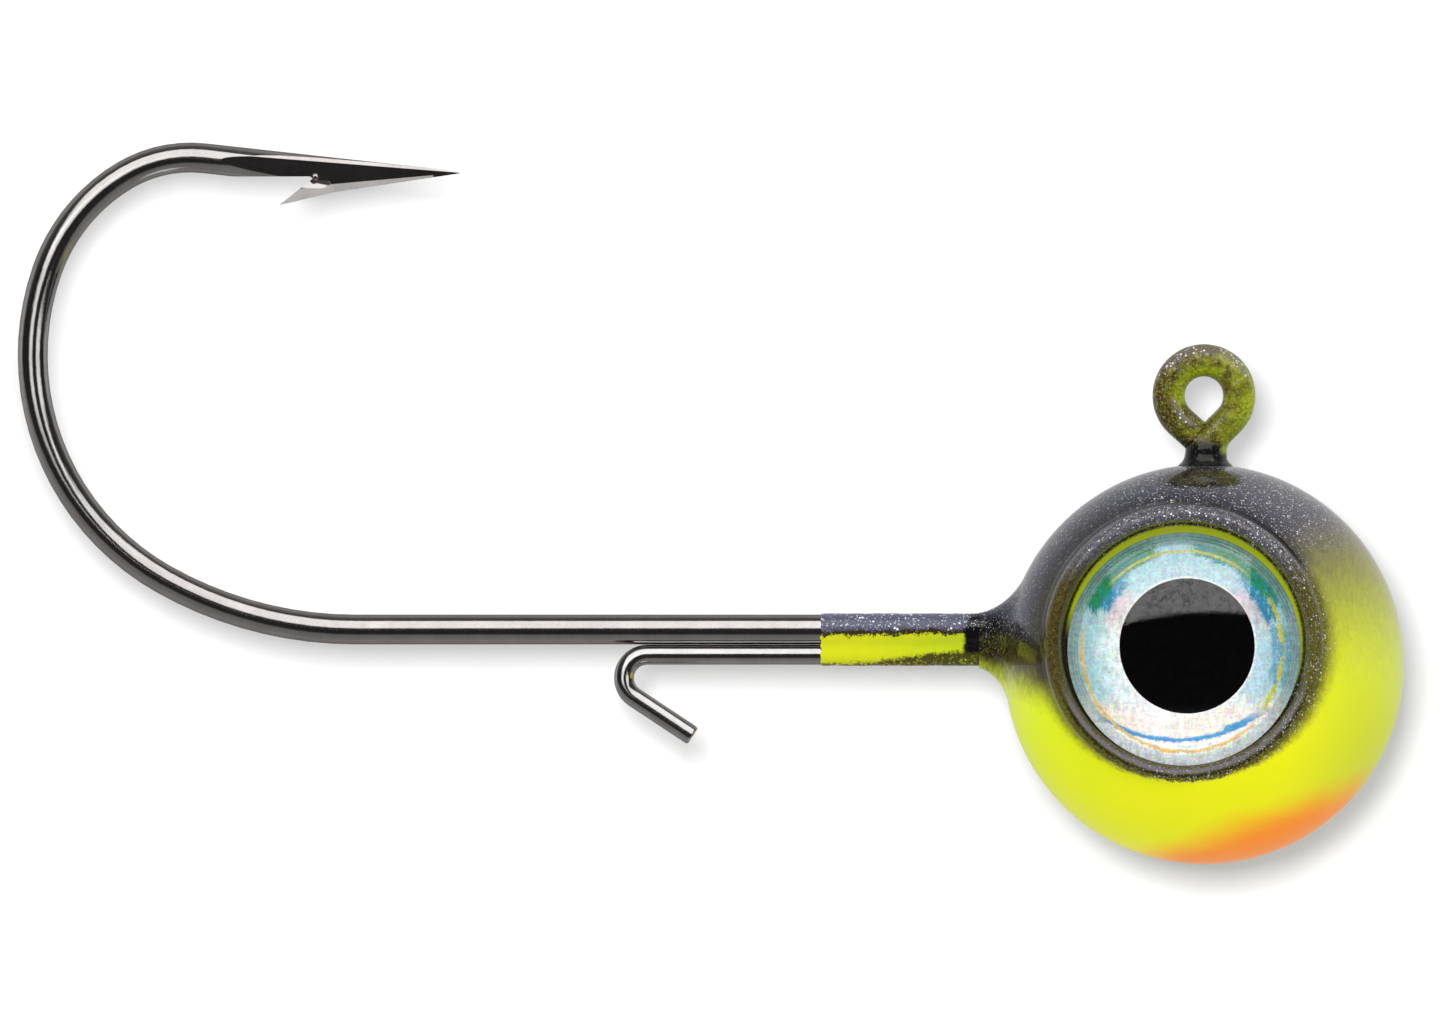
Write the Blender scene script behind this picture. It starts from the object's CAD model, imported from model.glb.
from math import asin, cos, pi, radians, sin, sqrt

import bmesh
import bpy
import numpy as np
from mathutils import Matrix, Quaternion, Vector


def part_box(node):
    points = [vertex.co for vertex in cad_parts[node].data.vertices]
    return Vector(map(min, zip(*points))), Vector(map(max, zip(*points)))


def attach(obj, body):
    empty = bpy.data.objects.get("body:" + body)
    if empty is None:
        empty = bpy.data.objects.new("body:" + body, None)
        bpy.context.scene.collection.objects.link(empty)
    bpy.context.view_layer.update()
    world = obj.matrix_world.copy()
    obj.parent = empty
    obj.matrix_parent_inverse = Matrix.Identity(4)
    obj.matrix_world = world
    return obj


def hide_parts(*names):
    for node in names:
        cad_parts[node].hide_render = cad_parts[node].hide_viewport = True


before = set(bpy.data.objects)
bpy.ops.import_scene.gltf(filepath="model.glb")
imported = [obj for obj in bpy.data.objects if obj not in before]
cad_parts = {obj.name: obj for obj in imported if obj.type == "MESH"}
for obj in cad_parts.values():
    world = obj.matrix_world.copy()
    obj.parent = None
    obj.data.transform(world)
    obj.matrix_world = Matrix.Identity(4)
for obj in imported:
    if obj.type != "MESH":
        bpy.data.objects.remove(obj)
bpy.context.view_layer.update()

# Lengths are in millimetres, in the row frame, and meshes are scaled to metres as they are made.
MM = 0.001


def box_mm(node):
    """Lowest and highest corner of a CAD node, in millimetres."""
    low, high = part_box(node)
    return [float(c) / MM for c in low], [float(c) / MM for c in high]


# -------- sizes read from the CAD frame
head_low, head_high = box_mm("head_paint")
BALL_R = head_high[0]
BALL_Z = head_low[2] + BALL_R

lens_low, lens_high = box_mm("eye_lens_right")
EYE_X = (lens_low[0] + lens_high[0]) / 2
EYE_Z = (lens_low[2] + lens_high[2]) / 2
LENS_R = (lens_high[0] - lens_low[0]) / 2
LENS_TOP = -lens_low[1]
LENS_BACK = -lens_high[1]
foil_low, foil_high = box_mm("eye_foil_right")
FOIL_R = (foil_high[0] - foil_low[0]) / 2
FOIL_BACK = -foil_high[1]
pupil_low, pupil_high = box_mm("eye_pupil_right")
PUPIL_R = (pupil_high[0] - pupil_low[0]) / 2
PUPIL_X = (pupil_low[0] + pupil_high[0]) / 2
PUPIL_Z = (pupil_low[2] + pupil_high[2]) / 2

WIRE_R = box_mm("hook")[1][1]
KEEPER_R = box_mm("keeper_wire")[1][1]
collar_low, collar_high = box_mm("collar_paint")
WIRE_COAT = collar_high[1] - WIRE_R
SHANK_Z = collar_high[2] - WIRE_R - WIRE_COAT
KEEPER_Z = collar_low[2] + KEEPER_R + WIRE_COAT
NECK_X = collar_high[0]
COLLAR_X = collar_low[0]

# eye socket and its rim, about an axis parallel to Y a little above the eye's own
SOCKET_X = EYE_X
SOCKET_Z = EYE_Z + 0.15
SOCKET_R = 3.66
SOCKET_FLOOR = FOIL_BACK - 0.15
RIM_FLARE = 4.72
RIM_CREST = 5.08
RIM_CREST_R = 3.87
RIM_R = 4.2
RIM_SHOULDER = 4.68


# -------- mesh helpers
def add_object(name, data):
    """Puts a new object in the scene."""
    added = bpy.data.objects.new(name, data)
    bpy.context.scene.collection.objects.link(added)
    return added


def new_piece(name, points, faces, material, replaced):
    """Mesh object from points in millimetres, smooth shaded, riding on the body."""
    mesh = bpy.data.meshes.new(name)
    mesh.from_pydata((np.asarray(points) * MM).tolist(), [], [list(map(int, f)) for f in faces])
    mesh.validate()
    bm = bmesh.new()
    bm.from_mesh(mesh)
    bmesh.ops.recalc_face_normals(bm, faces=bm.faces)
    bm.to_mesh(mesh)
    bm.free()
    mesh.shade_smooth()
    piece = add_object(name, mesh)
    mesh.materials.append(material)
    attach(piece, "root")
    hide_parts(*replaced)
    return piece


def circle(steps):
    """Evenly spaced angles round a full turn."""
    return np.linspace(0, 2 * pi, steps, endpoint=False)


def ring_points(x, y, z):
    """Points from three coordinates, each a number or an array."""
    return np.stack(np.broadcast_arrays(x, y, z), axis=1)


def grid_faces(rows, columns, closed=True):
    """Quads between rings of points that follow each other in a list."""
    faces = []
    for row in range(rows - 1):
        for column in range(columns if closed else columns - 1):
            a = row * columns + column
            b = row * columns + (column + 1) % columns
            faces.append((a, b, b + columns, a + columns))
    return faces


def capped_faces(rows, columns):
    """Quads between rings, with one face over each end."""
    faces = grid_faces(rows, columns)
    faces.append(tuple(reversed(range(columns))))
    faces.append(tuple(range((rows - 1) * columns, rows * columns)))
    return faces


def shifted(faces, count):
    """Faces for points that follow after a number of others."""
    return [tuple(count + i for i in face) for face in faces]


def lathe(profile, steps, centre, side):
    """Profile of (radius, height) turned about an eye's axis. Heights grow outward from Y = 0."""
    angles = circle(steps)
    rings = []
    for radius, height in profile:
        x = centre[0] + radius * np.cos(angles)
        z = centre[1] + radius * np.sin(angles)
        rings.append(ring_points(x, side * height, z))
    return np.concatenate(rings), grid_faces(len(profile), steps)


def tube(centres, tangents, radius, steps):
    """Round tube along a path in the XZ plane, with flat ends."""
    angles = circle(steps)
    side = np.array([0.0, 1.0, 0.0])
    rings = []
    for centre, tangent in zip(centres, tangents):
        up = np.cross(side, tangent)
        across = np.outer(np.cos(angles), side) + np.outer(np.sin(angles), up)
        rings.append(centre + radius * across)
    return np.concatenate(rings), capped_faces(len(rings), steps)


class Path:
    """Path of straight runs and arcs in the XZ plane."""

    def __init__(self, x, z, heading, step):
        self.at = np.array([x, 0.0, z])
        self.heading = radians(heading)
        self.step = step
        self.centres = []
        self.tangents = []
        self.mark()

    def tangent(self):
        return np.array([cos(self.heading), 0.0, sin(self.heading)])

    def left(self):
        return np.array([-sin(self.heading), 0.0, cos(self.heading)])

    def mark(self):
        """Keeps the place and the direction reached."""
        self.centres.append(self.at.copy())
        self.tangents.append(self.tangent())

    def run(self, length):
        count = max(2, int(length / self.step))
        start = self.at.copy()
        for i in range(1, count + 1):
            self.at = start + self.tangent() * length * i / count
            self.mark()
        return self

    def arc(self, radius, turn):
        """Turns left by a number of degrees, or right where it is negative."""
        sign = 1 if turn > 0 else -1
        centre = self.at + self.left() * sign * radius
        start = self.heading
        count = max(4, int(radius * abs(radians(turn)) / self.step))
        for i in range(1, count + 1):
            self.heading = start + radians(turn) * i / count
            self.at = centre - self.left() * sign * radius
            self.mark()
        return self


# -------- shader helpers
class Value:
    """Output of a node. Arithmetic with it adds nodes."""

    def __init__(self, nodes, socket):
        self.nodes = nodes
        self.socket = socket

    def __add__(self, other):
        return self.nodes.math("ADD", self, other)

    def __radd__(self, other):
        return self.nodes.math("ADD", other, self)

    def __sub__(self, other):
        return self.nodes.math("SUBTRACT", self, other)

    def __rsub__(self, other):
        return self.nodes.math("SUBTRACT", other, self)

    def __mul__(self, other):
        return self.nodes.math("MULTIPLY", self, other)

    def __truediv__(self, other):
        return self.nodes.math("DIVIDE", self, other)

    def __neg__(self):
        return self.nodes.math("MULTIPLY", self, -1.0)

    def __abs__(self):
        return self.nodes.math("ABSOLUTE", self)

    def step(self, low, high):
        """0 below low and 1 above high, eased in between."""
        node = self.nodes.new("MapRange")
        node.interpolation_type = "SMOOTHSTEP"
        return self.nodes.fill(node, (self, low, high, 0.0, 1.0))

    def under(self, low, high):
        """1 below low and 0 above high, eased in between."""
        return 1.0 - self.step(low, high)

    def band(self, middle, half_width, soft):
        """1 within a band and 0 outside it."""
        return abs(self - middle).under(half_width, half_width + soft)

    def fade(self, low, high, a, b):
        """Colour a below low and b above high."""
        return self.nodes.mix(self.step(low, high), a, b)


class Nodes:
    """Adds nodes to a tree. What goes in may be a number, a colour, a socket or a Value."""

    def __init__(self, tree):
        self.tree = tree

    def new(self, kind):
        return self.tree.nodes.new(f"ShaderNode{kind}")

    def put(self, socket, value):
        """Links a value to a socket, or writes a number or a colour into it."""
        if isinstance(value, Value):
            value = value.socket
        if isinstance(value, bpy.types.NodeSocket):
            self.tree.links.new(value, socket)
        elif isinstance(value, tuple) and len(value) == 3 and len(socket.default_value) == 4:
            socket.default_value = (*value, 1)
        else:
            socket.default_value = value

    def fill(self, node, values):
        """Puts values into a node's first inputs and gives its first output."""
        for socket, value in zip(node.inputs, values):
            self.put(socket, value)
        return Value(self, node.outputs[0])

    def math(self, operation, *values, clamp=False):
        node = self.new("Math")
        node.operation = operation
        node.use_clamp = clamp
        return self.fill(node, values)

    def largest(self, a, b):
        return self.math("MAXIMUM", a, b)

    def vector(self, operation, *values, scale=None):
        node = self.new("VectorMath")
        node.operation = operation
        if scale is not None:
            node.inputs["Scale"].default_value = scale
        return self.fill(node, values)

    def split(self, value):
        node = self.new("SeparateXYZ")
        self.put(node.inputs[0], value)
        return [Value(self, output) for output in node.outputs]

    def join(self, x, y, z):
        return self.fill(self.new("CombineXYZ"), (x, y, z))

    def length(self, a, b):
        return self.math("SQRT", a * a + b * b)

    def mix(self, factor, a, b):
        """Colour between a and b."""
        node = self.new("Mix")
        node.data_type = "RGBA"
        self.put(node.inputs[0], factor)
        self.put(node.inputs[6], a)
        self.put(node.inputs[7], b)
        return Value(self, node.outputs[2])

    def blend(self, factor, a, b):
        """Number between a and b."""
        return factor * b + (1.0 - factor) * a


class Shader(Nodes):
    """One node material, with places in millimetres."""

    def __init__(self, name):
        self.material = bpy.data.materials.new(name)
        self.material.use_nodes = True
        super().__init__(self.material.node_tree)
        self.principled = self.tree.nodes["Principled BSDF"]
        self.output = self.tree.nodes["Material Output"]
        self.colour = None
        coordinates = self.new("TexCoord")
        self.place = self.vector("SCALE", coordinates.outputs["Object"], scale=1 / MM)
        self.x, self.y, self.z = self.split(self.place)

    def paint(self, mask, tone):
        """Lays a tone over the colour so far."""
        self.colour = self.mix(mask, self.colour, tone)

    def set(self, name, value):
        self.put(self.principled.inputs[name], value)

    def show_through(self, factor):
        """Makes the surface clear where a factor is 1."""
        either = self.new("MixShader")
        clear = self.new("BsdfTransparent")
        sockets = (factor, self.principled.outputs[0], clear.outputs[0])
        self.put(self.output.inputs["Surface"], self.fill(either, sockets))

    def noise_node(self, scale, detail, roughness, place=None):
        """Fractal noise with features of 1/scale millimetres."""
        node = self.new("TexNoise")
        self.put(node.inputs["Vector"], place or self.place)
        node.inputs["Scale"].default_value = scale
        node.inputs["Detail"].default_value = detail
        node.inputs["Roughness"].default_value = roughness
        return node

    def noise(self, scale, detail=4.0, roughness=0.6, place=None):
        """Noise as a number, centred on 0."""
        node = self.noise_node(scale, detail, roughness, place)
        return Value(self, node.outputs["Fac"]) - 0.5

    def flakes(self, scale, share, size):
        """Glitter: (mask, brightness, random colour) of sparse cells."""
        node = self.new("TexVoronoi")
        self.put(node.inputs["Vector"], self.place)
        node.inputs["Scale"].default_value = scale
        soft = 0.12
        chosen, bright, _ = self.split(node.outputs["Color"])
        inside = Value(self, node.outputs["Distance"]).under(size - soft, size + soft)
        return self.math("GREATER_THAN", chosen, 1 - share) * inside, bright, node.outputs["Color"]

    def toward(self, x, z, direction, spread, soft):
        """1 for places whose direction from the centre is within a spread, in degrees."""
        radius = self.largest(self.length(x, z), 0.001)
        along = x * cos(radians(direction)) + z * sin(radians(direction))
        return (along / radius).step(cos(radians(spread + soft)), cos(radians(spread)))

    def tinted(self, colour, scale, amount):
        """Colour multiplied by fine noise that differs between red, green and blue."""
        node = self.noise_node(scale, 4.0, 0.75)
        centred = self.vector("SUBTRACT", node.outputs["Color"], (0.5, 0.5, 0.5))
        grown = self.vector("SCALE", centred, scale=amount)
        return self.vector("MULTIPLY", colour, self.vector("ADD", grown, (1.0, 1.0, 1.0)))

    def bump(self, height, distance, strength):
        node = self.new("Bump")
        node.inputs["Strength"].default_value = strength
        node.inputs["Distance"].default_value = distance * MM
        self.put(node.inputs["Height"], height)
        return Value(self, node.outputs[0])


# colours as linear light
CHARTREUSE = (0.70, 0.82, 0.002)
LEMON = (0.85, 0.83, 0.002)
ORANGE = (0.99, 0.28, 0.012)
OLIVE = (0.115, 0.102, 0.010)
OLIVE_DARK = (0.070, 0.054, 0.016)
OLIVE_LIGHT = (0.20, 0.185, 0.055)
BROWN = (0.034, 0.022, 0.007)
SLATE_DARK = (0.013, 0.015, 0.026)
SLATE = (0.024, 0.025, 0.044)
SLATE_LIGHT = (0.070, 0.067, 0.082)
INK = (0.003, 0.003, 0.004)
CYAN = (0.42, 0.66, 0.72)
PALE_BLUE = (0.40, 0.62, 0.70)
CREAM = (0.84, 0.75, 0.66)
WHITE_FOIL = (0.88, 0.90, 0.90)
PINK = (0.70, 0.48, 0.50)
BLUE = (0.0, 0.24, 0.42)
YELLOW = (0.62, 0.56, 0.02)
GREEN = (0.01, 0.24, 0.05)
TEAL = (0.0, 0.24, 0.24)
GOLD = (0.82, 0.52, 0.06)
FLAKE_FINE = (0.50, 0.51, 0.62)
FLAKE_COARSE = (0.80, 0.82, 0.92)
NOSE_GREEN = (0.58, 0.66, 0.022)
RIM_SLATE = (0.095, 0.093, 0.118)
BEAD_VIOLET = (0.15, 0.135, 0.18)
BORE_YELLOW = (0.72, 0.84, 0.004)
COLLAR_YELLOW = (0.60, 0.63, 0.006)
COLLAR_GREEN = (0.50, 0.60, 0.008)
COLLAR_SLATE = (0.082, 0.087, 0.135)
RING_SHADED = (0.16, 0.19, 0.008)
RING_YELLOW = (0.44, 0.55, 0.010)
RING_BLACK = (0.010, 0.006, 0.002)
RING_BROWN = (0.24, 0.165, 0.028)
RING_FROST = (0.15, 0.13, 0.125)
DEEP_CYAN = (0.10, 0.44, 0.50)
ARC_BLUE = (0.0, 0.27, 0.60)
EDGE_GREEN = (0.22, 0.34, 0.30)
EDGE_TEAL = (0.10, 0.26, 0.22)
EDGE_PALE = (0.62, 0.68, 0.68)
EDGE_LINE = (0.62, 0.70, 0.68)
PUPIL_BLACK = (0.0001, 0.0001, 0.0001)
PUPIL_WORN = (0.0008, 0.0008, 0.0009)
LEAD_DARK = (0.20, 0.21, 0.23)
LEAD_LIGHT = (0.34, 0.35, 0.37)
GLUE_YELLOW = (0.62, 0.60, 0.48)
GLUE_CLEAR = (0.75, 0.74, 0.66)
HOOK_NICKEL = (0.50, 0.475, 0.46)
KEEPER_NICKEL = (0.56, 0.54, 0.53)
NICKEL_EDGE = (0.42, 0.40, 0.39)
LENS_TINT = (0.985, 1.0, 0.995)
PAPER_DARK = (0.215, 0.215, 0.215)
PAPER_LIGHT = (0.225, 0.225, 0.225)
SEEN_WHITE = (1.05, 1.05, 1.05)


def glitter(shader, amount, scale):
    """Lays fine white, blue and pink flakes over the colour so far."""
    fine, fine_bright, fine_colour = shader.flakes(scale, 0.42, 0.44)
    coarse, coarse_bright, _ = shader.flakes(scale * 0.62, 0.10, 0.40)
    fine = fine * shader.math("POWER", fine_bright, 2.0) * amount
    tint = shader.mix(0.35, FLAKE_FINE, fine_colour)
    shader.paint(shader.math("MINIMUM", fine * 0.9, 1.0), tint)
    coarse = coarse * coarse_bright * amount
    shader.paint(shader.math("MINIMUM", coarse, 1.0), FLAKE_COARSE)


def glossy_paint(shader, bump_height=None, coat=1.0):
    """Sprayed, clear-coated paint: orange peel below, gloss above."""
    peel = shader.noise(2.2, 2.0)
    grain = shader.noise(26.0, 3.0)
    height = peel * 0.7 + grain * 0.18
    if bump_height is not None:
        height = height + bump_height
    shader.set("Base Color", shader.colour)
    shader.set("Roughness", 0.42 + grain * 0.3)
    shader.set("Specular IOR Level", 0.1)
    shader.set("Coat Weight", coat)
    shader.set("Coat Roughness", 0.045)
    shader.set("Coat IOR", 1.36)
    shader.set("Normal", shader.bump(height, 0.012, 0.35))
    shader.set("Coat Normal", shader.bump(peel, 0.012, 0.25))
    return shader.material


def sprayed_base(shader, x, z):
    """Chartreuse, warmer towards the throat, which is orange."""
    warm = x * 0.12 - z * 0.16
    shader.colour = (warm + shader.cloud).fade(-0.5, 1.1, CHARTREUSE, LEMON)
    shader.paint(x.step(1.8, 5.2) * 0.85, NOSE_GREEN)
    throat = x * 0.33 - z * 0.944 + shader.cloud * 0.5 + shader.speck * 0.2
    shader.paint(throat.step(4.35, 5.50), ORANGE)


def slate_back(shader, x, z, radius):
    """Slate that fades downward through olive, quickly behind and slowly towards the nose."""
    cloud, speck, grain = shader.cloud, shader.speck, shader.grain
    along = x + 4.92
    # both lower edges climb again along the neck
    behind = shader.largest(-along, 0.0)
    reach = shader.blend(x.step(-3.0, 4.0), 0.7, 1.7)
    height = z + grain * reach
    olive_low = along * 0.07 - 1.6 + behind * 0.6
    olive_high = along * 0.42 - 0.1 + behind * 0.7
    olive = height.step(olive_low, olive_high)
    slate_low = along * 0.27 + 0.3 + behind * 0.5
    slate_high = along * 0.44 + 1.0 + behind * 0.5
    slate = height.step(slate_low, slate_high)
    forward = (x + cloud * 1.5).step(-2.5, 3.2)
    olive_tone = shader.mix(forward, OLIVE_DARK, OLIVE_LIGHT)
    neck = (x + grain * 0.5).under(-5.9, -5.0)
    neck_tone = speck.fade(-0.02, 0.08, INK, OLIVE_DARK)
    olive_tone = shader.mix(neck * 0.85, olive_tone, neck_tone)
    lee_side = (x + cloud).under(-4.2, -0.8)
    shade = lee_side * radius.under(4.3, 5.0)
    slate_tone = shader.mix(forward, SLATE, SLATE_LIGHT)
    slate_tone = shader.mix(lee_side * 0.6, slate_tone, SLATE_DARK)
    slate_tone = shader.mix(shade * 0.8, slate_tone, INK)
    shader.paint(olive, olive_tone)
    plain = (1.0 - lee_side * 0.45) * (1.0 - shade * 0.9)
    shader.paint(slate, slate_tone)
    return slate, plain


def collar_shadow(shader, x, z):
    """Where the collar has shaded the spray: olive behind a black arc."""
    lee_z = z + 0.25
    lee = shader.length(x + 6.2, lee_z) + shader.grain * 0.34
    lee_top = (lee_z + shader.speck * 0.5).step(0.25, 0.75)
    in_lee = lee.under(1.25, 1.40) * lee_top
    lee_tone = shader.speck.fade(-0.02, 0.12, INK, OLIVE)
    shader.paint(in_lee * 0.9, lee_tone)
    arc = lee.band(1.42, 0.10, 0.16) * lee_z.step(-0.4, 0.4)
    shader.paint(arc * 0.92, INK)


def stem_pool(shader, x, z):
    """Where the ring has shaded the top: an olive pool with a dark edge, on both sides of the stem."""
    pool_x = (x + 0.09) / 1.17
    pool_y = (abs(shader.y) - 1.95) / 0.78
    pool = shader.length(pool_x, pool_y) + shader.grain * 0.10
    pool_high = z.step(4.9, 5.2)
    pool_edge = pool.band(1.0, 0.07, 0.08) * pool_high
    pool_in = pool.under(0.92, 1.02) * pool_high
    pool_tone = (shader.speck + shader.feather * 0.6).fade(0.0, 0.12, INK, OLIVE_DARK)
    shader.paint(pool_in, pool_tone)
    shader.paint(pool_edge * 0.85, INK)
    return pool_in


def eye_overspray(shader, ex, ez, radius):
    """Dark spray round the eye, crisp and ragged below it, wide and soft at its sides."""
    speck = shader.speck
    sideways = ex / shader.largest(radius, 0.1)
    rough = shader.noise(4.5, 5.0, 0.75)
    ragged = radius + rough * 0.30 + speck * 0.20
    ring = (ragged - 4.13).under(-0.03, 0.03 + sideways * sideways * 0.62)
    ring_tone = speck.fade(-0.10, 0.12, BROWN, OLIVE)
    high = (ez + shader.grain * 0.5).step(1.6, 2.9)
    ring_tone = shader.mix(high, ring_tone, RIM_SLATE)
    ring_tone = shader.mix(shader.fleck * 0.6, ring_tone, BROWN)
    shader.paint(ring * 0.95, ring_tone)
    above_eye = (ez - ex * 0.45).step(0.3, 1.3)
    crease = (radius + rough * 0.08).band(4.24, 0.045, 0.04) * above_eye
    shader.paint(crease, INK)
    hollow = radius.step(4.20, 4.28) * radius.under(4.28, 4.85)
    shader.paint(hollow * above_eye * 0.55, INK)
    return ring, ring * high, crease


def socket_rim(shader, ex, ez, radius):
    """Gray-violet bead below, brown inside edge, chartreuse in the socket's upper part."""
    speck = shader.speck
    low = (-ez).step(0.8, 2.2)
    bead = (radius + speck * 0.30).band(3.83, 0.035, 0.05)
    shader.paint(bead * low * 0.85, BEAD_VIOLET)
    outline = (radius + speck * 0.30).band(3.97, 0.02, 0.05)
    shader.paint(outline * low * 0.8, INK)
    upper = (ez + ex * 0.25).step(-0.8, 0.4)
    inner = (radius + speck * 0.6).under(3.62, 3.80)
    shader.paint(inner, shader.mix(upper * shader.fleck, BROWN, OLIVE))
    bore = (radius + speck * 0.10).under(3.52, 3.60)
    shader.paint(bore, shader.mix(upper, INK, BORE_YELLOW))
    return bore


def head_paint_material():
    """Chartreuse ball with a slate back, an orange throat and dark overspray round the eyes."""
    shader = Shader("head_paint")
    x = shader.x
    z = shader.z - BALL_Z
    ex = x - SOCKET_X
    ez = z - (SOCKET_Z - BALL_Z)
    radius = shader.length(ex, ez)
    shader.cloud = shader.noise(0.55, 4.0)
    shader.feather = shader.noise(2.4, 6.0, 0.7)
    shader.speck = shader.noise(15.0, 4.0, 0.8)
    streak = shader.noise(1.0, 5.0, 0.7, shader.join(x * 11.0, shader.y, z * 3.0))
    shader.grain = shader.speck * 0.9 + shader.feather * 0.7 + streak * 0.9
    shader.fleck = shader.noise(9.0, 5.0, 0.85).step(-0.03, 0.05)

    sprayed_base(shader, x, z)
    slate, plain = slate_back(shader, x, z, radius)
    collar_shadow(shader, x, z)
    pool = stem_pool(shader, x, z)
    ring, ring_top, crease = eye_overspray(shader, ex, ez, radius)
    bore = socket_rim(shader, ex, ez, radius)

    # glitter lies in the slate and on the ring's top, and hardly anywhere else
    dark = shader.largest(slate, ring * 0.8) * (1.0 - shader.largest(bore, pool * 0.7)) * plain
    amount = (0.008 + dark * 0.95 + ring_top * 0.55) * (1.0 - crease)
    glitter(shader, amount, 23.0)
    coat = shader.blend(z.step(-2.4, 0.8), 0.30, 1.0)
    return glossy_paint(shader, coat=coat)


def collar_material():
    """Paint on shank and keeper: glittery slate above, chartreuse below, black at the neck."""
    shader = Shader("collar_paint")
    x, z = shader.x, shader.z - SHANK_Z
    feather = shader.noise(3.0, 5.0, 0.7)
    speck = shader.noise(11.0, 5.0, 0.8)
    grain = feather * 0.5 + speck * 0.9
    towards_neck = (x + feather * 3.0).step(-10.6, -7.4)
    base = shader.mix(towards_neck, COLLAR_YELLOW, COLLAR_GREEN)
    # the split between the two colours rises a little towards the neck
    split = -0.13 + (x - COLLAR_X) * 0.012
    above = z - split + grain * 0.60
    shader.colour = above.fade(-0.09, -0.03, base, BROWN)
    slate = above.step(0.05, 0.12)
    shader.paint(slate, COLLAR_SLATE)
    # brown speckle along the underside, deeper towards the neck
    deep = -1.0 + x.step(-10.9, -7.3) * 0.36
    under = (deep - z - grain * 0.50).step(-0.04, 0.10)
    under_tone = speck.fade(-0.02, 0.10, BROWN, OLIVE)
    patchy = speck.step(0.16, 0.04)
    shader.paint(under * 0.95 * patchy, under_tone)
    # a black run of paint where collar and neck meet
    run = x + grain * 0.35 - shader.largest(z, 0.0) * 0.35
    black = run.step(-7.28, -7.12) * (z + grain * 0.3).step(-0.80, -0.66)
    shader.paint(black, INK)
    glitter(shader, 0.03 + slate * 1.5, 20.0)
    return glossy_paint(shader, speck * 0.5)


def line_tie_material():
    """Thin chartreuse coat on the ring, speckled with the slate and brown of the coats above it."""
    shader = Shader("line_tie_paint")
    x, z = shader.x, shader.z
    feather = shader.noise(2.4, 5.0, 0.7)
    speck = shader.noise(12.0, 5.0, 0.85)
    grain = feather * 0.7 + speck
    radius = shader.length(x, z)
    base = speck.fade(-0.10, 0.10, RING_SHADED, RING_YELLOW)
    # brown over nearly all of it, thinner on the right flank and inside the ring at upper left
    flank = x * 0.90 - z * 0.44
    clean = (flank + grain * 0.8).step(0.85, 1.55) * (1.0 - z.step(-0.2, 0.5) * 0.6)
    inside = (radius + grain * 0.25).under(0.80, 1.05)
    upper_left = (z - x * 0.9).step(0.05, 0.55)
    clean = shader.largest(clean, inside * upper_left)
    brown = (grain * 2.4 - x * 0.12).step(-0.40, 0.08) * (1.0 - clean * 0.75)
    brown_tone = speck.fade(0.0, 0.08, RING_BLACK, RING_BROWN)
    shader.colour = shader.mix(brown * 0.95, base, brown_tone)
    # dark stem and foot
    stem = (z + grain * 0.35).under(-1.55, -1.20)
    right = x.step(0.42, 0.60)
    stem = stem * (1.0 - right * z.step(-1.85, -1.6))
    shader.paint(stem, speck.fade(0.05, 0.20, INK, OLIVE_DARK))
    # gray glitter on the crown and along the lower left leg
    crown = (radius + grain * 0.12).band(1.40, 0.05, 0.12) * (z + x * 0.1).step(0.35, 0.95)
    leg = (radius + grain * 0.12).band(0.90, 0.05, 0.10) * shader.toward(x, z, -142, 22, 18)
    frost = shader.largest(crown, leg)
    shader.paint(frost * 0.55, RING_FROST)
    sparkle = 0.25 + frost * 2.4
    plain = shader.largest(clean, stem)
    glitter(shader, sparkle * (1.0 - plain * 0.8), 13.0)
    return glossy_paint(shader, speck * 0.7)


def nickel_material(name, colour):
    """Drawn wire under bright plating: fine lines along the wire, faint clouding, small pits."""
    shader = Shader(name)
    cloud = shader.noise(1.1, 5.0)
    grain = shader.noise(22.0, 4.0, 0.7)
    fine = shader.noise(60.0, 2.0)
    dark = tuple(part * 0.80 for part in colour)
    tone = (cloud + grain * 0.6).fade(-0.3, 0.3, dark, colour)
    shader.set("Base Color", tone)
    shader.set("Metallic", 1.0)
    rough = 0.085 + cloud * 0.04 + grain * 0.08
    shader.set("Roughness", shader.largest(rough, 0.04))
    shader.set("Specular Tint", NICKEL_EDGE)
    height = grain * 0.8 + fine * 0.4 + cloud
    shader.set("Normal", shader.bump(height, 0.010, 0.22))
    return shader.material


def lead_material():
    """Cast lead: dull gray with a grained skin."""
    shader = Shader("lead")
    cloud = shader.noise(0.8, 5.0)
    grain = shader.noise(9.0, 4.0)
    shader.set("Base Color", cloud.fade(-0.2, 0.2, LEAD_DARK, LEAD_LIGHT))
    shader.set("Metallic", 0.9)
    shader.set("Roughness", 0.5 + grain * 0.3)
    shader.set("Normal", shader.bump(grain, 0.03, 0.5))
    return shader.material


def adhesive_material():
    """Thin pad of clear glue that has yellowed a little."""
    shader = Shader("eye_adhesive")
    cloud = shader.noise(2.0, 4.0)
    shader.set("Base Color", cloud.fade(-0.2, 0.2, GLUE_YELLOW, GLUE_CLEAR))
    shader.set("Roughness", 0.55 + cloud * 0.3)
    shader.set("Normal", shader.bump(cloud, 0.02, 0.4))
    return shader.material


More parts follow.
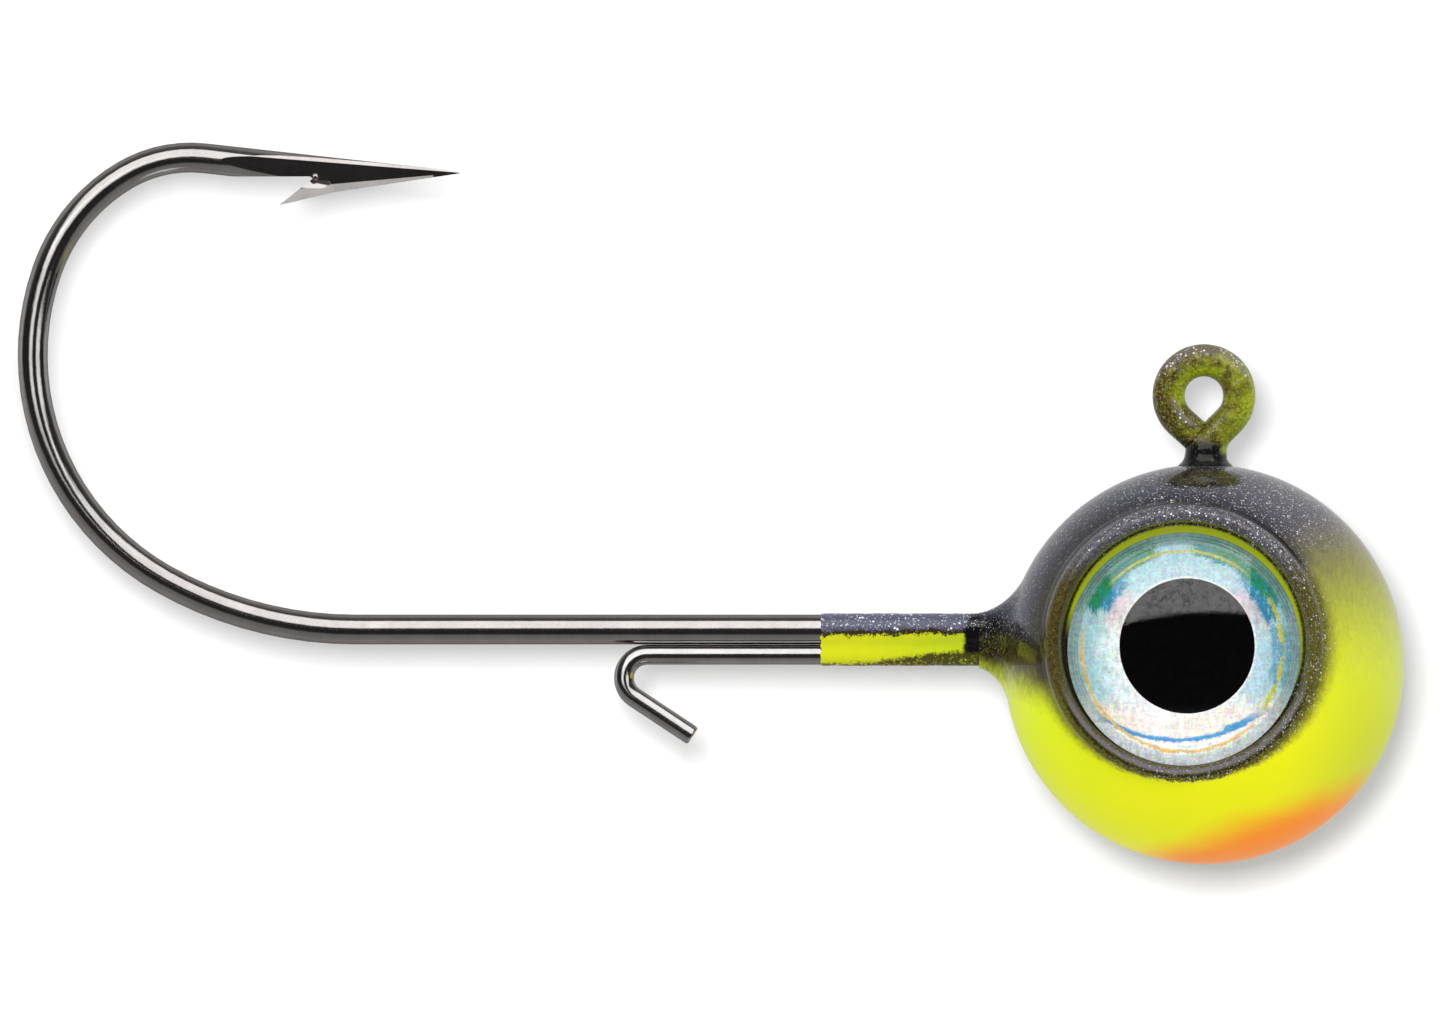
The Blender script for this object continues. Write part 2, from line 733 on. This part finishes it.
def foil_material():
    """Holographic foil: cyan, cream and white, with rainbow streaks towards its edge."""
    shader = Shader("eye_foil")
    # places as they look through the dome, which magnifies a little
    x = (shader.x - EYE_X) * 1.085
    z = (shader.z - EYE_Z) * 1.085
    radius = shader.length(x, z)
    cloud = shader.noise(0.9, 5.0, 0.65)
    blotch = shader.noise(2.6, 5.0, 0.75)
    speck = shader.noise(8.0, 5.0, 0.85)
    upright = shader.noise(1.0, 4.0, 0.8, shader.join(x * 9.0, shader.y, z * 2.2))
    level = shader.noise(1.0, 4.0, 0.8, shader.join(x * 2.2, shader.y, z * 9.0))
    weave = upright + level
    grain = cloud * 1.2 + blotch * 1.6 + speck * 0.9
    fray = blotch * 0.9 + speck * 0.7 + weave * 0.5
    frayed_x = x + fray * 1.6
    frayed_z = z - (blotch + upright * 1.2) * 1.6
    frayed_r = radius + fray * 0.55

    shader.colour = (x + grain * 2.0).fade(-1.6, 1.8, CYAN, PALE_BLUE)
    teal = (blotch + speck * 0.8 + weave).step(0.02, 0.20)
    outward = radius.step(1.9, 3.0)
    shader.paint(teal * shader.blend(outward, 0.10, 0.45), DEEP_CYAN)
    cream = (grain * 0.9 - z).step(1.15, 2.05)
    shader.paint(cream, CREAM)
    # white glow between pupil and edge on the left, and a white line round the pupil
    from_pupil = shader.length(shader.x - PUPIL_X, shader.z - PUPIL_Z) - PUPIL_R
    glow = (from_pupil + grain * 0.7).under(0.05, 0.95)
    left = shader.toward(x, z, 200, 40, 35)
    shader.paint(glow * shader.blend(left, 0.20, 0.80), WHITE_FOIL)
    line = (from_pupil + speck * 0.12).under(0.03, 0.08)
    shader.paint(line, WHITE_FOIL)
    # pink sheen beside the pupil's upper corners
    for direction in (32, 150):
        patch = shader.toward(frayed_x, frayed_z, direction, 8, 12)
        patch = patch * frayed_r.band(2.30, 0.16, 0.30)
        shader.paint(patch * 0.6, PINK)
    # blue patches towards the edge: upper left, upper right and right
    for direction, spread, inner_edge, strength in (
        (143, 9, 2.45, 0.95),
        (36, 13, 2.50, 0.95),
        (-3, 13, 2.60, 0.6),
    ):
        patch = shader.toward(frayed_x, frayed_z, direction, spread, 6)
        patch = patch * frayed_r.step(inner_edge, inner_edge + 0.14)
        patch = patch * (speck + upright).under(0.05, 0.22)
        shader.paint(patch * strength, BLUE)
    # green towards the upper edge at both sides, with a thin yellow line along it
    green_tone = grain.fade(-0.15, 0.15, GREEN, TEAL)
    for direction, spread in ((132, 22), (58, 24)):
        patch = shader.toward(frayed_x, frayed_z, direction, spread, 7)
        patch = patch * frayed_r.step(2.84, 2.94)
        shader.paint(patch * 0.92, green_tone)
    upper = shader.toward(x, z, 95, 34, 14)
    yellow = (radius + fray * 0.14).band(3.02, 0.02, 0.05)
    shader.paint(yellow * upper * 0.85, YELLOW)
    # blue arc below, in two lengths, with white and a gold line under it
    below = (-z).step(1.75, 2.25)
    arc = shader.length(x + 0.2, z - 1.75) + fray * 0.22
    shader.paint(arc.step(4.60, 4.68) * below, WHITE_FOIL)
    second = frayed_x.step(1.22, 1.28)
    middle = 4.53 - second * 0.05
    half_width = 0.035 + second * 0.05
    blue_arc = arc.band(middle, half_width, 0.08)
    shader.paint(blue_arc * below * 0.95, ARC_BLUE)
    gold = (radius + fray * 0.28).band(3.17, 0.03, 0.06)
    gold_side = shader.toward(x, z, -118, 62, 18)
    shader.paint(gold * gold_side * 0.85, GOLD)
    # yellow streak at the right
    streak = (radius + fray * 0.35).band(3.05, 0.045, 0.07) * shader.toward(x, z, -4, 28, 12)
    broken = (blotch + speck).step(-0.14, 0.02)
    shader.paint(streak * broken * 0.95, YELLOW)
    # translucent outer edge
    edge = (radius + fray * 0.15).step(3.24, 3.34)
    edge_tone = z.fade(-2.6, -1.2, EDGE_PALE, EDGE_GREEN)
    edge_tone = shader.mix(shader.toward(x, z, 90, 55, 20) * 0.6, edge_tone, EDGE_TEAL)
    edge_line = shader.math("SINE", radius * 60.0).step(0.1, 0.9)
    edge_tone = shader.mix(edge_line * 0.3, edge_tone, EDGE_LINE)
    shader.paint(edge * 0.75, edge_tone)
    tinted = shader.tinted(shader.tinted(shader.colour, 6.0, 0.7), 11.0, 1.1)
    shade = (weave + speck) * 1.1 + 1.0
    shader.set("Base Color", shader.vector("MULTIPLY", tinted, shader.join(shade, shade, shade)))
    shader.set("Metallic", 0.35)
    shader.set("Roughness", 0.34 + speck * 0.25)
    shader.set("Normal", shader.bump(speck, 0.008, 0.30))
    return shader.material


def pupil_material():
    """Black screen ink with a slightly grained surface."""
    shader = Shader("eye_pupil")
    speck = shader.noise(26.0, 4.0, 0.8)
    tone = speck.step(-0.25, 0.35)
    shader.set("Base Color", shader.mix(tone, PUPIL_BLACK, PUPIL_WORN))
    shader.set("Roughness", 0.6 + speck * 0.3)
    shader.set("Specular IOR Level", 0.0)
    shader.set("Normal", shader.bump(speck, 0.006, 0.3))
    return shader.material


def lens_material():
    """Clear cast resin. Lamps reach what lies behind it."""
    shader = Shader("eye_lens")
    radius = shader.length(shader.x - EYE_X, shader.z - EYE_Z)
    speck = shader.noise(26.0, 4.0, 0.8)
    haze = shader.noise(1.2, 3.0)
    rings = shader.math("SINE", radius * 45.0) * radius.step(3.02, 3.2)
    mottle = shader.noise(6.0, 4.0, 0.9)
    height = rings * 0.5 + haze * 0.4 + mottle * 1.2
    bump = shader.bump(height, 0.004, 0.25)
    shader.set("Coat Weight", shader.math("ADD", 0.7, mottle * 7.0, clamp=True))
    shader.set("Coat IOR", 1.52)
    shader.set("Coat Roughness", 0.05)
    shader.set("Coat Normal", bump)
    shader.set("Base Color", LENS_TINT)
    shader.set("Roughness", shader.largest(0.015 + speck * 0.05, 0.0))
    shader.set("IOR", 1.5)
    shader.set("Transmission Weight", 1.0)
    shader.set("Normal", bump)
    shader.show_through(shader.new("LightPath").outputs["Is Shadow Ray"])
    return shader.material


# -------- painted head
def smooth_max(a, b, k):
    return (a + b + np.sqrt((a - b) ** 2 + k * k)) / 2


def rim_height(radius):
    """Height of the rim's own outline above Y = 0, outside the socket."""
    wall_slope = 14.0
    fall = np.clip((radius - RIM_CREST_R) / (RIM_R - RIM_CREST_R), 0, 1)
    shoulder = RIM_CREST - (RIM_CREST - RIM_SHOULDER) * (1 - np.sqrt(1 - fall**2 * 0.98))
    wall = RIM_SHOULDER - (radius - RIM_R) * wall_slope
    return np.where(radius <= RIM_R, shoulder, wall)


def head_side(side, steps=720):
    """One half of the painted ball with its eye socket, from the socket's floor to Y = 0."""
    angles = circle(steps)
    across, up = np.cos(angles), np.sin(angles)
    dx, dz = SOCKET_X, SOCKET_Z - BALL_Z
    bore = [
        (2.4, SOCKET_FLOOR), (3.0, SOCKET_FLOOR), (3.58, SOCKET_FLOOR),
        (3.63, SOCKET_FLOOR + 0.02), (3.655, SOCKET_FLOOR + 0.06), (SOCKET_R, SOCKET_FLOOR + 0.15),
        (SOCKET_R, 4.55), (SOCKET_R + 0.01, RIM_FLARE), (3.70, 4.84), (3.755, 4.95), (3.80, 5.02),
    ]
    rings = [ring_points(SOCKET_X + r * across, h, SOCKET_Z + r * up) for r, h in bore]

    def ball_height(radius):
        x = dx + radius * across
        z = dz + radius * up
        return x, z, np.sqrt(np.maximum(BALL_R**2 - x * x - z * z, 0))

    melt = 0.03
    rim_radii = [*np.linspace(3.83, 4.19, 14), *np.linspace(4.2, 4.42, 16)]
    for radius in rim_radii:
        x, z, ball = ball_height(radius)
        height = smooth_max(rim_height(np.full(steps, radius)), ball, melt)
        height = np.minimum(height, np.maximum(ball, 5.03 + 0.05 * (radius > 3.85)))
        rings.append(ring_points(x, height, z + BALL_Z))

    # from the rim's foot to the ball's outline, closer together towards the outline
    reach = np.sqrt(BALL_R**2 - (dx * up - dz * across) ** 2) - (dx * across + dz * up)
    count = 150
    for i in range(1, count + 1):
        radius = rim_radii[-1] + (reach - rim_radii[-1]) * sin(i / count * pi / 2)
        x, z, ball = ball_height(radius)
        height = smooth_max(rim_height(radius), ball, melt) if i < 6 else ball
        rings.append(ring_points(x, height if i < count else 0.0, z + BALL_Z))
    points = np.concatenate(rings)
    points[:, 1] *= side
    return points, grid_faces(len(rings), steps)


def hull_distance(y, z):
    """Distance in the YZ plane to an outline round shank and keeper."""
    r1, r2 = WIRE_R + WIRE_COAT, KEEPER_R + WIRE_COAT
    height = SHANK_Z - KEEPER_Z
    py, pz = np.abs(y), z - KEEPER_Z
    slope = (r2 - r1) / height
    level = sqrt(1 - slope**2)
    k = py * -slope + pz * level
    below = np.sqrt(py**2 + pz**2) - r2
    above = np.sqrt(py**2 + (pz - height) ** 2) - r1
    between = py * level + pz * slope - r2
    return np.where(k < 0, below, np.where(k > level * height, above, between))


def waist_distance(y, z):
    """The same outline with the slight hollow that paint leaves between two wires."""
    top = np.sqrt(y**2 + (z - SHANK_Z) ** 2) - WIRE_R - WIRE_COAT
    bottom = np.sqrt(y**2 + (z - KEEPER_Z) ** 2) - KEEPER_R - WIRE_COAT
    melt, hull_share = 0.22, 0.55
    h = np.clip(0.5 + 0.5 * (bottom - top) / melt, 0, 1)
    pair = bottom * (1 - h) + top * h - melt * h * (1 - h)
    hull = hull_distance(y, z)
    return np.maximum(hull, hull_share * hull + (1 - hull_share) * pair)


def neck_distance(x, y, z):
    """Distance to ball and neck, joined by a round fillet."""
    fillet = 1.1
    ball = np.sqrt(x**2 + y**2 + (z - BALL_Z) ** 2) - BALL_R
    neck = waist_distance(y, z)
    u = np.maximum(fillet - ball, 0)
    v = np.maximum(fillet - neck, 0)
    return np.maximum(fillet, np.minimum(ball, neck)) - np.sqrt(u * u + v * v)


NECK_AXIS_Z = (SHANK_Z + KEEPER_Z) / 2


def skin_radius(distance, x, angles, low, high):
    """Radius from the neck's axis at which a distance function is zero."""
    near, far = np.full_like(angles, low), np.full_like(angles, high)
    for _ in range(40):
        middle = (near + far) / 2
        inside = distance(x, middle * np.sin(angles), NECK_AXIS_Z + middle * np.cos(angles)) < 0
        near, far = np.where(inside, middle, near), np.where(inside, far, middle)
    return (near + far) / 2


def neck_ring(x, radius, angles):
    """Ring of points about the neck's axis."""
    return ring_points(x, radius * np.sin(angles), NECK_AXIS_Z + radius * np.cos(angles))


def neck_skin(steps=240):
    """Neck between collar and ball, ending just under the ball's surface."""
    angles = circle(steps)
    dip, dip_start, dip_length = 0.006, -5.56, 0.08
    rings = []
    for x in [*np.linspace(NECK_X, -6.2, 20), *np.linspace(-6.17, -5.38, 60)]:
        radius = skin_radius(neck_distance, np.full_like(angles, x), angles, 0.05, 4.2)
        radius = radius - dip * np.clip((x - dip_start) / dip_length, 0, 1)
        rings.append(neck_ring(x, radius, angles))
    rings.append(neck_ring(x + 0.08, radius * 0.97, angles))
    return np.concatenate(rings), grid_faces(len(rings), steps)


def make_head(material):
    """Outer skin of the paint on ball, rims, sockets and neck."""
    points, faces = head_side(-1)
    other, other_faces = head_side(1)
    faces += shifted(other_faces, len(points))
    points = np.concatenate([points, other])
    # the ball's own skin is left out where the neck's skin covers it
    covered = points[:, 0] < -5.5
    faces = [face for face in faces if not covered[list(face)].all()]
    neck, neck_faces = neck_skin()
    faces += shifted(neck_faces, len(points))
    points = np.concatenate([points, neck])
    piece = new_piece("head_paint_skin", points, faces, material, ["head_paint"])
    bm = bmesh.new()
    bm.from_mesh(piece.data)
    bmesh.ops.remove_doubles(bm, verts=bm.verts, dist=1e-7)
    loose = [vertex for vertex in bm.verts if not vertex.link_faces]
    bmesh.ops.delete(bm, geom=loose, context="VERTS")
    bmesh.ops.recalc_face_normals(bm, faces=bm.faces)
    bm.to_mesh(piece.data)
    bm.free()


def make_collar(material, seed=7):
    """Paint round shank and keeper, with a slightly uneven skin and a ragged front edge."""
    steps = 160
    angles = circle(steps)
    random = np.random.default_rng(seed)
    waves = []
    for _ in range(9):
        waves.append((random.integers(1, 9), random.uniform(0, 2 * pi), random.uniform(0.3, 1.0)))
    ragged = sum(size * np.sin(count * 2 * angles + phase) for count, phase, size in waves)
    ragged = 0.05 * (ragged - ragged.min()) / (ragged.max() - ragged.min())
    full = skin_radius(lambda x, y, z: waist_distance(y, z), 0.0, angles, 0.05, 2.0)
    length = NECK_X - COLLAR_X
    stations = [(0.0, 0.955), (0.012, 0.975), (0.03, 0.99), (0.06, 1.0)]
    stations += [(along, 1.0) for along in np.linspace(0.12, length, 110)]
    rings = []
    for along, scale in stations:
        x = COLLAR_X + along + ragged * max(0.0, 1 - along / 0.4)
        lump = 0.006 * np.sin(3.1 * along + 2 * angles) + 0.005 * np.sin(7.3 * along - 3 * angles + 1.3)
        lump *= min(1.0, (length - along) / 0.3)
        rings.append(neck_ring(x, full * scale - np.abs(lump), angles))
    points, faces = np.concatenate(rings), grid_faces(len(rings), steps)
    new_piece("collar_paint_skin", points, faces, material, ["collar_paint"])


def gather_x(z):
    """Where the paint gathered between the wire's legs is centred at some height."""
    return 0.04 - 0.14 * np.clip((z + 1.5) / 0.35, 0, 1)


def make_line_tie(material):
    """Coat on the ring and its stem, gathered smoothly where its pieces meet."""
    steps = 64
    stem_x, ring_r, leg_bend = 0.2, 1.06, 0.9
    foot_x, foot_z = ring_r * cos(pi / 4), -ring_r * sin(pi / 4)
    leg = (foot_x - stem_x - leg_bend * (1 - cos(pi / 4))) / cos(pi / 4)
    stem_top = foot_z - leg * sin(pi / 4) - leg_bend * sin(pi / 4)
    ball_top, sunk = BALL_Z + BALL_R, 0.3
    path = Path(stem_x, ball_top - sunk, 90, 0.03)
    path.run(stem_top - ball_top + sunk).arc(leg_bend, -45).run(leg).arc(ring_r, 273).run(0.64)
    points, faces = tube(path.centres, path.tangents, WIRE_R + WIRE_COAT, steps)
    # radius and height of the gathered paint, from the stem's foot up
    gather = [
        (0.98, -2.45), (0.90, -2.18), (0.80, -2.07), (0.70, -1.98), (0.645, -1.88), (0.615, -1.76),
        (0.60, -1.62), (0.575, -1.50), (0.52, -1.36), (0.46, -1.24), (0.38, -1.13), (0.20, -1.10),
    ]
    angles = circle(steps)
    rings = [ring_points(gather_x(z) + r * np.cos(angles), r * np.sin(angles), z) for r, z in gather]
    faces += shifted(capped_faces(len(rings), steps), len(points))
    points = np.concatenate([points, *rings])
    piece = new_piece("line_tie_paint_skin", points, faces, material, ["line_tie_paint"])
    remesh = piece.modifiers.new("join", "REMESH")
    remesh.mode = "VOXEL"
    remesh.voxel_size = 0.022 * MM
    smooth = piece.modifiers.new("settle", "SMOOTH")
    smooth.factor = 0.5
    smooth.iterations = 9
    # the modifiers are baked into the mesh
    graph = bpy.context.evaluated_depsgraph_get()
    baked = bpy.data.meshes.new_from_object(piece.evaluated_get(graph), depsgraph=graph)
    piece.modifiers.clear()
    old = piece.data
    piece.data = baked
    bpy.data.meshes.remove(old)
    piece.data.shade_smooth()


# -------- eyes
def make_eye(name, side, materials):
    """Foil, printed pupil and domed lens of one eye."""
    centre = (EYE_X, EYE_Z)
    steps = 256

    def turned(piece, node, profile, centre, material):
        points, faces = lathe(profile, steps, centre, side)
        new_piece(f"{piece}_{name}", points, faces, material, [f"{node}_{name}"])

    foil_top = LENS_BACK
    profile = [(r, foil_top) for r in np.linspace(0.0, FOIL_R - 0.02, 40)]
    profile += [(FOIL_R, foil_top - 0.01), (FOIL_R, FOIL_BACK), (0.0, FOIL_BACK)]
    turned("eye_foil_skin", "eye_foil", profile, centre, materials["foil"])

    sunk = foil_top - 0.03
    ink_top = foil_top + 0.012
    profile = [(0.0, sunk), (PUPIL_R, sunk), (PUPIL_R, ink_top - 0.004), (PUPIL_R - 0.006, ink_top)]
    profile += [(r, ink_top) for r in np.linspace(PUPIL_R - 0.05, 0.0, 12)]
    turned("eye_pupil_ink", "eye_pupil", profile, (PUPIL_X, PUPIL_Z), materials["pupil"])

    # the resin wets the foil, so its back lies just below the foil's face
    back = foil_top - 0.02
    edge = 4.92
    rise = LENS_TOP - edge
    dome_r = (LENS_R**2 + rise**2) / (2 * rise)
    profile = [(0.0, back), (LENS_R - 0.03, back), (LENS_R, back + 0.03), (LENS_R, edge - 0.03)]
    start = asin((LENS_R - 0.02) / dome_r)
    for angle in np.linspace(start, 0.0, 64):
        profile.append((dome_r * sin(angle), LENS_TOP - dome_r + dome_r * cos(angle)))
    turned("eye_dome", "eye_lens", profile, centre, materials["lens"])


# -------- studio
def make_camera():
    """Level camera looking along +Y. It shows no perspective, like a close-up from far off."""
    distance, frame_width = 0.1, 0.04335
    data = bpy.data.cameras.new("camera")
    data.type = "ORTHO"
    data.ortho_scale = frame_width
    data.clip_start = 0.001
    data.clip_end = 10
    camera = add_object("camera", data)
    camera.location = (-0.014445, -distance, -0.003625)
    camera.rotation_euler = (pi / 2, 0, 0)
    bpy.context.scene.camera = camera


def area_light(name, azimuth, elevation, width, height, radiance, roll=0.0):
    """Lamp 1 m away. Azimuth 0 is in front and grows to the right. Radiance 1 is paper white."""
    data = bpy.data.lights.new(name, "AREA")
    data.shape = "RECTANGLE"
    data.size, data.size_y = width, height
    data.energy = radiance * width * height * pi
    lamp = add_object(name, data)
    a, e = radians(azimuth), radians(elevation)
    offset = Vector((sin(a) * cos(e), -cos(a) * cos(e), sin(e)))
    lamp.location = offset
    lamp.rotation_mode = "QUATERNION"
    lamp.rotation_quaternion = offset.to_track_quat("Z", "Y") @ Quaternion((0, 0, 1), radians(roll))
    lamp.visible_camera = False
    return lamp


def only_on(lamp, pieces):
    """Limits a lamp to some receivers."""
    receivers = bpy.data.collections.new(f"{lamp.name}_receivers")
    for piece in pieces:
        receivers.objects.link(piece)
    lamp.light_linking.receiver_collection = receivers


# grays of the room, by angle round the X axis: 0 below, 0.25 in front, 0.5 above, 0.75 behind, 1 below
ROOM = (
    (0.0, 0.30), (0.12, 0.25), (0.155, 0.035), (0.30, 0.03), (0.48, 0.09),
    (0.53, 0.20), (0.565, 0.38), (0.61, 0.50), (0.75, 0.60), (0.90, 0.36),
)


def make_world():
    """White paper behind the object, and a gray room with a dark patch in front for reflections."""
    world = bpy.data.worlds.new("studio")
    world.use_nodes = True
    bpy.context.scene.world = world
    nodes = Nodes(world.node_tree)
    _, y, z = nodes.split(nodes.new("TexCoord").outputs["Generated"])
    turn = nodes.math("ARCTAN2", -y, -z) / (2 * pi)
    ramp = nodes.new("ValToRGB")
    ramp.color_ramp.interpolation = "EASE"
    elements = ramp.color_ramp.elements
    elements.remove(elements[1])
    elements[0].position = ROOM[0][0]
    elements[0].color = (ROOM[0][1], ROOM[0][1], ROOM[0][1], 1)
    for place, gray in ROOM[1:]:
        elements.new(place).color = (gray, gray, gray, 1)
    room = nodes.fill(ramp, [nodes.math("FRACT", turn + 1.0)])
    seen = nodes.mix(nodes.new("LightPath").outputs["Is Camera Ray"], room, SEEN_WHITE)
    nodes.put(world.node_tree.nodes["Background"].inputs[0], seen)


def make_sweep():
    """Pale paper sweep: it hangs close behind the object and curves forward into a floor below it."""
    behind, top, floor, bend, half, front = 7.0, 300.0, -52.0, 22.0, 400.0, -400.0
    line = [(behind, top), (behind, floor + bend)]
    for angle in np.linspace(0, pi / 2, 24)[1:]:
        line.append((behind - bend + bend * cos(angle), floor + bend - bend * sin(angle)))
    line.append((front, floor))
    points = [(x, y, z) for y, z in line for x in (half, -half)]
    mesh = bpy.data.meshes.new("paper_sweep")
    faces = grid_faces(len(line), 2, closed=False)
    mesh.from_pydata([tuple(c * MM for c in point) for point in points], [], faces)
    mesh.shade_smooth()
    sweep = add_object("paper_sweep", mesh)
    shader = Shader("paper")
    fibre = shader.noise(0.8, 4.0)
    shader.set("Base Color", fibre.fade(-0.3, 0.3, PAPER_DARK, PAPER_LIGHT))
    shader.set("Roughness", 0.9)
    shader.set("Specular IOR Level", 0.0)
    # light that comes through the paper from behind
    shader.set("Emission Color", (1.0, 1.0, 1.0))
    shader.set("Emission Strength", 0.31)
    # the paper is seen from its front only, so views from behind look through it
    shader.show_through(shader.new("NewGeometry").outputs["Backfacing"])
    mesh.materials.append(shader.material)
    sweep.visible_diffuse = False
    sweep.visible_glossy = False
    sweep.visible_transmission = False
    sweep.visible_shadow = False
    return sweep


def make_fill():
    """Even soft light from all round, for matt surfaces and for what lies under the lenses."""
    dome_radius, strength = 8.0, 0.95
    mesh = bpy.data.meshes.new("fill_dome")
    bm = bmesh.new()
    bmesh.ops.create_icosphere(bm, subdivisions=3, radius=dome_radius)
    bm.to_mesh(mesh)
    bm.free()
    dome = add_object("fill_dome", mesh)
    material = bpy.data.materials.new("fill_light")
    material.use_nodes = True
    nodes = Nodes(material.node_tree)
    nodes.tree.nodes.remove(nodes.tree.nodes["Principled BSDF"])
    emission = nodes.new("Emission")
    nodes.put(emission.inputs["Strength"], strength)
    nodes.put(nodes.tree.nodes["Material Output"].inputs["Surface"], emission.outputs[0])
    mesh.materials.append(material)
    dome.visible_camera = False
    dome.visible_glossy = False
    dome.visible_shadow = False


# -------- build
adhesive = adhesive_material()
for name, material in (
    ("hook", nickel_material("black_nickel", HOOK_NICKEL)),
    ("keeper_wire", nickel_material("keeper_nickel", KEEPER_NICKEL)),
    ("head_casting", lead_material()),
    ("eye_adhesive_right", adhesive),
    ("eye_adhesive_left", adhesive),
):
    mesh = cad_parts[name].data
    mesh.materials.clear()
    mesh.materials.append(material)

make_head(head_paint_material())
make_collar(collar_material())
make_line_tie(line_tie_material())
eye_materials = {"foil": foil_material(), "pupil": pupil_material(), "lens": lens_material()}
make_eye("right", -1, eye_materials)
make_eye("left", 1, eye_materials)

make_camera()
make_world()
sweep = make_sweep()
make_fill()
area_light("key_softbox", -2, 45, 1.68, 0.86, 1.75, roll=6.5)
only_on(area_light("paper_light", -3.1, 3.7, 0.13, 0.13, 470.0), [sweep])
# lamps for the bare wire alone: azimuth, elevation, width, height, radiance
wires = [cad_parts["hook"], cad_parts["keeper_wire"]]
only_on(area_light("low_front", -2, 16, 1.35, 0.22, 1.75), wires)
only_on(area_light("left_strip", -19, 2, 0.39, 0.28, 1.5), wires)
only_on(area_light("right_strip", 37, 2, 0.52, 0.28, 1.5), wires)
only_on(area_light("under_card", 68, -76, 0.30, 0.30, 0.75), wires)
bpy.context.scene.view_settings.view_transform = "Standard"
